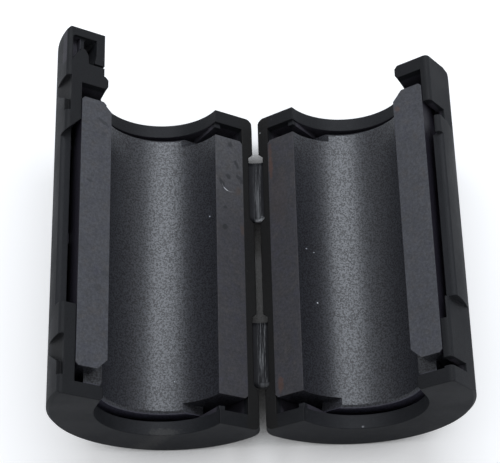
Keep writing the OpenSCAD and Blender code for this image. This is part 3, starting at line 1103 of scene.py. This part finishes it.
@dataclass(frozen=True)
class SinteredFerrite:
    """Ferrite with matte ground mating strips and a darker bore full of fine crystals.

    Attributes:
        name: the material's name.
        fired: colour of the unground skin in the bore.
        crystal: colour of the bright crystals in the skin.
        outside: colour of the round back and the sides, which aren't glazed.
        near_end: colour of the near end faces.
        glint: colour of the few bright glints in the skin.
        crystal_share: how much the crystals show.
        crystal_power: how sharply they stand out of the grain.
        face_height: where the ground strips begin below the mating plane, in millimetres.
        outside_bore: where the outside begins, in millimetres from the bore.
        near_along: where the near end faces begin, in millimetres.
        cloud_scale: scale of the soft clouds.
        grain_scale: scale of the grain.
        glints: the glints.
        pores: pores that break the glaze.
        glaze_grain: grain where the glaze is thinnest and fullest.
        glaze_weight: how strong it is there.
        outside_unglazed: how much less the outside is glazed.
        glaze_tint: tint of the dense fired skin's reflections.
        glaze_ior: index of refraction of that skin.
        glaze_roughness: roughness of that skin.
        skin_roughness: roughness of what lies under it, at the bottom and top of its grain.
        strip_roughness: roughness of the ground strips.
        crystal_bump: depth of the crystals in the skin, in metres.
        grind_bump: share of that depth that the grain of the ground strips has.
        bump_strength: how strongly that depth shows.
        edge_radius: how softly the edges catch the light, in metres.
        strip: the ground strips.
        marks: the marks on the cores.
        hook: the bright scratch.
    """

    name: str = "sintered_ferrite"
    fired: Colour = srgb(31, 29, 33)
    crystal: Colour = srgb(92, 94, 98)
    outside: Colour = srgb(36, 33, 42)
    near_end: Colour = srgb(64, 61, 72)
    glint: Colour = Tint.SCRATCH.value
    crystal_share: float = 0.25
    crystal_power: float = 3.0
    face_height: Span = (-0.2, -0.09)
    outside_bore: Span = (3.1, 3.3)
    near_along: Span = (-16.2, -16.3)
    cloud_scale: float = 420.0
    grain_scale: float = 5500.0
    glints: Specks = Specks(cells=420.0, share=0.25, size=0.045, strength=0.8)
    pores: Specks = Specks(cells=2800.0, share=0.5, size=0.4, strength=0.85)
    glaze_grain: Span = (0.2, 0.7)
    glaze_weight: Span = (0.1, 1.0)
    outside_unglazed: float = 0.85
    glaze_tint: Colour = (0.87, 0.93, 1.0)
    glaze_ior: float = 1.56
    glaze_roughness: float = 0.38
    skin_roughness: Span = (0.42, 0.5)
    strip_roughness: float = 0.58
    crystal_bump: float = 0.000018
    grind_bump: float = 0.2
    bump_strength: float = 1.0
    edge_radius: float = 0.00008
    strip: GroundStrip = GroundStrip()
    marks: tuple[Mark, ...] = FERRITE_MARKS
    hook: HookScratch = HookScratch()

    def build(self, effects: SharedEffects) -> bpy.types.Material:
        """Builds the material.

        Args:
            effects: the shared node groups.

        Returns:
            The finished material.
        """
        material, tree, shader = new_material(self.name)
        place = tree.add("TexCoord").outputs["Object"]
        surface = Surface.start(tree, effects, place, self.cloud_scale, self.grain_scale)
        on_face = tree.ramp(surface.half["Height"], *self.face_height)
        outside = tree.ramp(surface.half["Bore"], *self.outside_bore)

        skin = self._skin(surface, outside)
        colour = tree.mix(on_face, skin, self.strip.colour(surface))
        colour = surface.marked(colour, self.marks)
        colour = self.hook.drawn(surface, colour)
        tree.link(colour, shader.inputs["Base Color"])

        skin_rough = tree.between(surface.grain, *self.skin_roughness)
        spread = tree.math("SUBTRACT", self.strip_roughness, skin_rough)
        rough = tree.math("MULTIPLY_ADD", spread, on_face, skin_rough)
        tree.link(rough, shader.inputs["Roughness"])

        height = tree.product(surface.grain, tree.between(on_face, 1.0, self.grind_bump))
        normal = surface.relief(height, self.crystal_bump, self.bump_strength, self.edge_radius)
        tree.link(normal, shader.inputs["Normal"])

        pores = self.pores.mask(tree, effects, place)
        dense = tree.ramp(surface.grain, *self.glaze_grain)
        glaze = tree.product(
            tree.between(dense, *self.glaze_weight), tree.dimmed(pores, self.pores.strength)
        )
        in_skin = tree.math("SUBTRACT", 1.0, on_face)
        glazed = tree.product(in_skin, tree.dimmed(outside, self.outside_unglazed))
        tree.link(tree.product(glaze, glazed), shader.inputs["Coat Weight"])
        shader.inputs["Coat Roughness"].default_value = self.glaze_roughness
        shader.inputs["Coat IOR"].default_value = self.glaze_ior
        shader.inputs["Coat Tint"].default_value = (*self.glaze_tint, 1.0)
        return material

    def _skin(self, surface: Surface, outside: Socket) -> Socket:
        """Colours the fired skin of the bore, the outside and the near ends.

        Args:
            surface: the core's surface.
            outside: 1 on the round back and the sides.

        Returns:
            The skin's colour.
        """
        tree = surface.tree
        peaks = tree.math("POWER", surface.grain, self.crystal_power)
        skin = tree.mix(tree.product(peaks, self.crystal_share), self.fired, self.crystal)
        skin = tree.mix(outside, skin, self.outside)
        near_end = tree.ramp(surface.half["Along"], *self.near_along)
        skin = tree.mix(near_end, skin, self.near_end)
        glints = self.glints.mask(tree, surface.effects, surface.place)
        return tree.mix(tree.product(glints, self.glints.strength), skin, self.glint)


@dataclass(frozen=True)
class FlexedWeb:
    """Case plastic where a hinge strap has been bent, whitened and scratched, with painted shade on
    its left third and a painted highlight streak.

    Places across the strap run from 0 on the left to 1, and along it from 0 at its far end to 1.

    Attributes:
        name: the material's name.
        body: colour of the strap.
        left_painted_shade: colour of its left third, darker by painted shade.
        whitening_and_highlight: colour of the stress-whitened plastic, and of the painted highlight
            streak.
        groove: colour of the grooves.
        body_across: where the left third's painted shade ends, across.
        streak_at: place of the painted highlight streak, across.
        streak_half: half the streak's width.
        streak_along: where the streak starts and is full, along.
        streak: how much the painted highlight streak shows at the near end.
        whitened: how much the near end is whitened.
        tip_along: where its whitened tip starts and is full, along.
        tip_across: the same across.
        tip_scale: scale of the noise that makes the tip uneven.
        tip_reach: how far that noise moves the tip, along.
        lines: how much the fine bright lines along the strap show.
        lines_across: where they lie, across.
        lines_fade: how softly they end there.
        grooves: how much the dark grooves between them show.
        ridge_scale: scale of the ridges across the strap.
        ridge_stretch: that scale along it, as a share of the scale across.
        groove_ridge: ridge noise where a groove starts and is full.
        line_ridge: ridge noise where a line starts and is full.
        specks: bright specks on the lines.
        roughness: roughness of the strap.
        ior: index of refraction of the plastic.
        ridge_bump: height of the fine lines, in metres.
        bump_strength: how strongly that height shows.
    """

    name: str
    body: Colour = srgb(33, 33, 37)
    left_painted_shade: Colour = srgb(26, 26, 30)
    whitening_and_highlight: Colour = srgb(178, 180, 182)
    groove: Colour = srgb(12, 12, 14)
    body_across: Span = (0.12, 0.42)
    streak_at: float = 0.6
    streak_half: float = 0.2
    streak_along: Span = (0.1, 1.0)
    streak: float = 0.25
    whitened: float = 0.95
    tip_along: Span = (0.935, 0.98)
    tip_across: Span = (0.3, 0.5)
    tip_scale: float = 1800.0
    tip_reach: float = 0.08
    lines: float = 0.24
    lines_across: Span = (0.32, 0.85)
    lines_fade: float = 0.12
    grooves: float = 0.5
    ridge_scale: float = 11.0
    ridge_stretch: float = 0.12
    groove_ridge: Span = (0.5, 0.4)
    line_ridge: Span = (0.5, 0.62)
    specks: Specks = Specks(cells=9000.0, share=0.2, size=0.4)
    roughness: float = 0.62
    ior: float = 1.28
    ridge_bump: float = 0.00005
    bump_strength: float = 0.6

    def build(self, effects: SharedEffects) -> bpy.types.Material:
        """Builds the material on the strap's own UV map.

        Args:
            effects: the shared node groups.

        Returns:
            The finished material.
        """
        material, tree, shader = new_material(self.name)
        place = tree.add("TexCoord").outputs["Object"]
        flat = tree.add("UVMap", uv_map=HingeWebs.UV_NAME).outputs[0]
        split = tree.add("SeparateXYZ", in_0=flat)
        across, along = split.outputs[0], split.outputs[1]
        stretched = tree.add("Mapping", Vector=flat, Scale=(1.0, self.ridge_stretch, 1.0))
        ridges = tree.noise(stretched.outputs[0], self.ridge_scale, detail=4.0, rough=0.8)

        # Painted shade darkens the strap's left third.
        colour = tree.mix(tree.ramp(across, *self.body_across), self.left_painted_shade, self.body)
        # A painted highlight streak runs along the strap, stronger towards its near end.
        off_streak = tree.math("ABSOLUTE", tree.math("SUBTRACT", across, self.streak_at))
        streak = tree.product(
            tree.ramp(off_streak, self.streak_half, 0.0),
            tree.ramp(along, *self.streak_along),
            self.streak,
        )
        colour = tree.mix(streak, colour, self.whitening_and_highlight)
        grooves = tree.product(tree.ramp(ridges, *self.groove_ridge), self.grooves)
        colour = tree.mix(grooves, colour, self.groove)
        lines = tree.product(
            tree.ramp(ridges, *self.line_ridge),
            tree.band(across, *self.lines_across, self.lines_fade),
        )
        colour = tree.mix(tree.product(lines, self.lines), colour, self.whitening_and_highlight)
        specks = self.specks.mask(tree, effects, place)
        colour = tree.mix(tree.product(specks, lines, self.lines), colour, self.whitening_and_highlight)
        wobble = tree.between(tree.noise(place, self.tip_scale), -self.tip_reach, self.tip_reach)
        tip = tree.product(
            tree.ramp(tree.math("ADD", along, wobble), *self.tip_along),
            tree.ramp(across, *self.tip_across),
            self.whitened,
        )
        colour = tree.mix(tip, colour, self.whitening_and_highlight)

        bump = tree.add(
            "Bump", Strength=self.bump_strength, Distance=self.ridge_bump, Height=ridges
        )
        shader.inputs["IOR"].default_value = self.ior
        shader.inputs["Roughness"].default_value = self.roughness
        tree.link(colour, shader.inputs["Base Color"])
        tree.link(bump.outputs[0], shader.inputs["Normal"])
        return material


# ------------------------------------------------------------------ pieces


def dress(piece: bpy.types.Object, material: bpy.types.Material) -> None:
    """Gives every face of a piece one material.

    Args:
        piece: the piece.
        material: its material.
    """
    piece.data.materials.clear()
    piece.data.materials.append(material)


def dress_nodes(names: tuple[str, ...], material: bpy.types.Material) -> None:
    """Dresses nodes of the frame as they are.

    Args:
        names: the nodes' names.
        material: their material.
    """
    for name in names:
        dress(frame["nodes"][name], material)
        LOG.info("dressed %s", name)


@dataclass
class MouldedCase:
    """The two case shells.

    Attributes:
        finish: the plastic's finish.
        shells: the shells' nodes.
    """

    finish: MouldedPlastic = MouldedPlastic()
    shells: tuple[str, str] = ("left_case_shell", "right_case_shell")

    def dress(self, effects: SharedEffects) -> None:
        """Dresses both shells."""
        dress_nodes(self.shells, self.finish.build(effects))


@dataclass
class FerriteCores:
    """The two ferrite halves.

    Attributes:
        finish: the ferrite's finish.
        halves: the halves' nodes.
    """

    finish: SinteredFerrite = SinteredFerrite()
    halves: tuple[str, str] = ("left_ferrite_half", "right_ferrite_half")

    def dress(self, effects: SharedEffects) -> None:
        """Dresses both cores."""
        dress_nodes(self.halves, self.finish.build(effects))


@dataclass
class HingeWebs:
    """The two thin webs of the living hinge, which bend as the case moves.

    Attributes:
        UV_NAME: name of the map that lays each web flat.
        far_finish: finish of the far web.
        near_finish: finish of the near web, which is scratched more.
        slot: the record's material slot of the webs, which is not used.
        thickness: the web's thickness, in metres.
        sink: how far each foot runs into its shell, in metres.
        steps: parts of the bend across the web.
        rows: parts along the web.
    """

    UV_NAME = "Web"

    far_finish: FlexedWeb = FlexedWeb("flexed_plastic_far")
    near_finish: FlexedWeb = FlexedWeb(
        "flexed_plastic_near",
        body=srgb(24, 24, 28),
        streak=0.05,
        streak_half=0.26,
        whitened=0.2,
        lines=0.38,
        grooves=0.85,
    )
    slot: str = "case_plastic"
    thickness: float = 0.0004
    sink: float = 0.0001
    steps: int = 16
    rows: int = 12

    def build(self, effects: SharedEffects) -> None:
        """Builds both webs in place of their solids.

        Args:
            effects: the shared node groups.
        """
        finishes = {"hinge_strap_far": self.far_finish, "hinge_strap_near": self.near_finish}
        for node, finish in finishes.items():
            piece = self._web(node, finish.build(effects))
            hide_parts(node)
            LOG.info("built %s", piece.name)

    def _web(self, node: str, material: bpy.types.Material) -> bpy.types.Object:
        """Builds one web.

        Args:
            node: the strap that it stands for.
            material: its material.

        Returns:
            The web.
        """
        low, high = (Vector(corner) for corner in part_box(node))
        mesh = self._arc(low, high)
        data = bpy.data.meshes.new(node + "_web")
        mesh.to_mesh(data)
        mesh.free()
        for face in data.polygons:
            face.use_smooth = True
        piece = bpy.data.objects.new(node + "_web", data)
        bpy.context.scene.collection.objects.link(piece)
        solid = piece.modifiers.new("thickness", "SOLIDIFY")
        solid.thickness = self.thickness
        solid.offset = 0.0
        dress(piece, material)
        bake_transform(piece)
        return piece

    def _arc(self, low: Vector, high: Vector) -> bmesh.types.BMesh:
        """Bends a web's middle surface from one foot to the other.

        Args:
            low: lowest corner of the strap that it stands for.
            high: highest corner of that strap.

        Returns:
            The surface, laid flat on its UV map too.
        """
        half_width = -low.x + self.sink
        middle = low.z + self.thickness / 2
        sag = high.z - self.thickness / 2 - middle
        radius = (half_width**2 + sag**2) / (2 * sag)
        reach = math.asin(min(1.0, half_width / radius))
        length = high.y - low.y
        rows_y = [low.y + length * row / self.rows for row in range(self.rows + 1)]
        mesh = bmesh.new()
        lines = []
        for step in range(self.steps + 1):
            turn = reach * (2 * step / self.steps - 1)
            x = radius * math.sin(turn)
            z = middle + radius * (1 - math.cos(turn))
            lines.append([mesh.verts.new((x, y, z)) for y in rows_y])
        for left, right in zip(lines, lines[1:]):
            for row in range(self.rows):
                mesh.faces.new((left[row], right[row], right[row + 1], left[row + 1]))
        self._unwrap(mesh, half_width, low.y, high.y)
        return mesh

    def _unwrap(
        self, mesh: bmesh.types.BMesh, half_width: float, near_y: float, far_y: float
    ) -> None:
        """Lays a web flat on its UV map, from left to right and from far to near.

        Args:
            mesh: the web's mesh.
            half_width: half the web's width, in metres.
            near_y: place of its near end.
            far_y: place of its far end.
        """
        layer = mesh.loops.layers.uv.new(self.UV_NAME)
        for face in mesh.faces:
            for loop in face.loops:
                place = loop.vert.co
                across = (place.x / half_width + 1) / 2
                loop[layer].uv = (across, (far_y - place.y) / (far_y - near_y))


# ------------------------------------------------------------------ studio


@dataclass(frozen=True)
class Softbox:
    """One area lamp aimed at the part.

    Attributes:
        name: the lamp's name.
        place: where it hangs, in metres.
        size: its width and length, in metres.
        watts: its power.
        colour: its colour.
    """

    name: str
    place: Point
    size: tuple[float, float]
    watts: float
    colour: Colour = WHITE

    def hang(self, aim: Vector) -> None:
        """Hangs the lamp and aims it.

        Args:
            aim: the point that it faces.
        """
        data = bpy.data.lights.new(self.name, "AREA")
        data.shape = "RECTANGLE"
        data.size, data.size_y = self.size
        data.energy = self.watts
        data.color = self.colour
        lamp = bpy.data.objects.new(self.name, data)
        lamp.location = self.place
        lamp.rotation_euler = (aim - Vector(self.place)).to_track_quat("-Z", "Y").to_euler()
        bpy.context.scene.collection.objects.link(lamp)


@dataclass
class Studio:
    """Floor, world, lamps and camera.

    Attributes:
        floor_half: half the floor's width, in metres.
        floor_roughness: roughness of the floor.
        floor_colour: grey level of the open floor.
        painted_shadow_grey: grey level of the painted shadow on the floor deep under the part.
        bounce_colour: grey level of the floor for the light that it throws on the part.
        floor_lift: how much whiter the open floor shows to the camera alone.
        cover_height: height within which a piece over the floor takes that lift away.
        cover_samples: samples that find such a piece.
        open_sky: open share over the floor where the lift starts and is full.
        world_strength: light from all round.
        world_colour: its colour.
        lamps: the soft lamps.
        lamp_aim: the point that they face, in metres.
        camera_place: the camera's place from the middle of the hinge line, in metres.
        camera_right: the camera's right-hand direction.
        camera_up: the camera's upward direction.
        sensor_width: width of the camera's sensor, in millimetres.
        picture_width: width of the picture, in pixels.
        focal_px: focal length in pixels of that picture.
        nearest: distance from which the camera sees, in metres.
    """

    floor_half: float = 1.2
    floor_roughness: float = 0.9
    floor_colour: float = 0.85
    painted_shadow_grey: float = 0.13
    bounce_colour: float = 0.72
    floor_lift: float = 0.38
    cover_height: float = 0.006
    cover_samples: int = 8
    open_sky: Span = (0.2, 0.72)
    world_strength: float = 0.48
    world_colour: Colour = (0.97, 1.0, 1.05)
    lamps: tuple[Softbox, ...] = (
        Softbox("overhead_softbox", (0.035, 0.17, 0.34), (0.33, 0.12), 0.76, (0.94, 0.985, 1.05)),
    )
    lamp_aim: Point = (0.0, 0.0, 0.008)
    camera_place: Point = (0.0031093, -0.0742843, 0.1598209)
    camera_right: Point = (0.9990826, -0.0232510, -0.0359639)
    camera_up: Point = (0.0367495, 0.8966486, 0.4412152)
    sensor_width: float = 36.0
    picture_width: int = 500
    focal_px: float = 1623.7
    nearest: float = 0.005

    def build(self) -> None:
        """Builds the studio."""
        self._floor()
        self._world()
        for lamp in self.lamps:
            lamp.hang(Vector(self.lamp_aim))
        self._camera()

    def _floor(self) -> None:
        """Lays a plain floor that is white to the camera and keeps the shadow."""
        mesh = bmesh.new()
        bmesh.ops.create_grid(mesh, x_segments=1, y_segments=1, size=self.floor_half)
        data = bpy.data.meshes.new("floor")
        mesh.to_mesh(data)
        mesh.free()
        floor = bpy.data.objects.new("floor", data)
        bpy.context.scene.collection.objects.link(floor)
        material, tree, shader = new_material("floor")
        shader.inputs["Roughness"].default_value = self.floor_roughness
        shader.inputs["Emission Color"].default_value = (*WHITE, 1.0)
        cover = tree.add(
            "AmbientOcclusion", samples=self.cover_samples, Distance=self.cover_height
        )
        uncovered = tree.ramp(cover.outputs["AO"], *self.open_sky)
        in_view = tree.add("LightPath").outputs["Is Camera Ray"]
        # Ambient occlusion paints a shadow on the floor under the part and takes away the camera's
        # lift there.
        shown = tree.mix(uncovered, self._grey(self.painted_shadow_grey), self._grey(self.floor_colour))
        colour = tree.mix(in_view, self._grey(self.bounce_colour), shown)
        tree.link(colour, shader.inputs["Base Color"])
        lift = tree.product(in_view, uncovered, self.floor_lift)
        tree.link(lift, shader.inputs["Emission Strength"])
        dress(floor, material)

    @staticmethod
    def _grey(level: float) -> Colour:
        """A grey of one level."""
        return level, level, level

    def _world(self) -> None:
        """Sets an even pale world."""
        world = bpy.data.worlds.new("studio")
        bpy.context.scene.world = world
        world.use_nodes = True
        tree = Tree(world.node_tree)
        background = world.node_tree.nodes["Background"]
        in_view = tree.add("LightPath").outputs["Is Camera Ray"]
        tree.link(tree.mix(in_view, self.world_colour, WHITE), background.inputs["Color"])
        strength = tree.between(in_view, self.world_strength, 1.0)
        tree.link(strength, background.inputs["Strength"])

    def _camera(self) -> None:
        """Sets the camera at the viewing angle."""
        right = Vector(self.camera_right).normalized()
        up = Vector(self.camera_up).normalized()
        back = right.cross(up)
        place = Vector(self.camera_place) + Vector((0.0, POSE.hinge_y, POSE.hinge_z))
        data = bpy.data.cameras.new("camera")
        data.sensor_width = self.sensor_width
        data.lens = self.focal_px * data.sensor_width / self.picture_width
        data.clip_start = self.nearest
        camera = bpy.data.objects.new("camera", data)
        turn = Matrix((right, up, back)).transposed().to_4x4()
        camera.matrix_world = Matrix.Translation(place) @ turn
        bpy.context.scene.collection.objects.link(camera)
        bpy.context.scene.camera = camera


def main() -> None:
    """Builds the looks in order."""
    logging.basicConfig(level=logging.INFO, format="%(message)s")
    effects = SharedEffects()
    MouldedCase().dress(effects)
    FerriteCores().dress(effects)
    HingeWebs().build(effects)
    Studio().build()
    bpy.context.scene.view_settings.view_transform = "Standard"


if __name__ == "__main__":
    main()
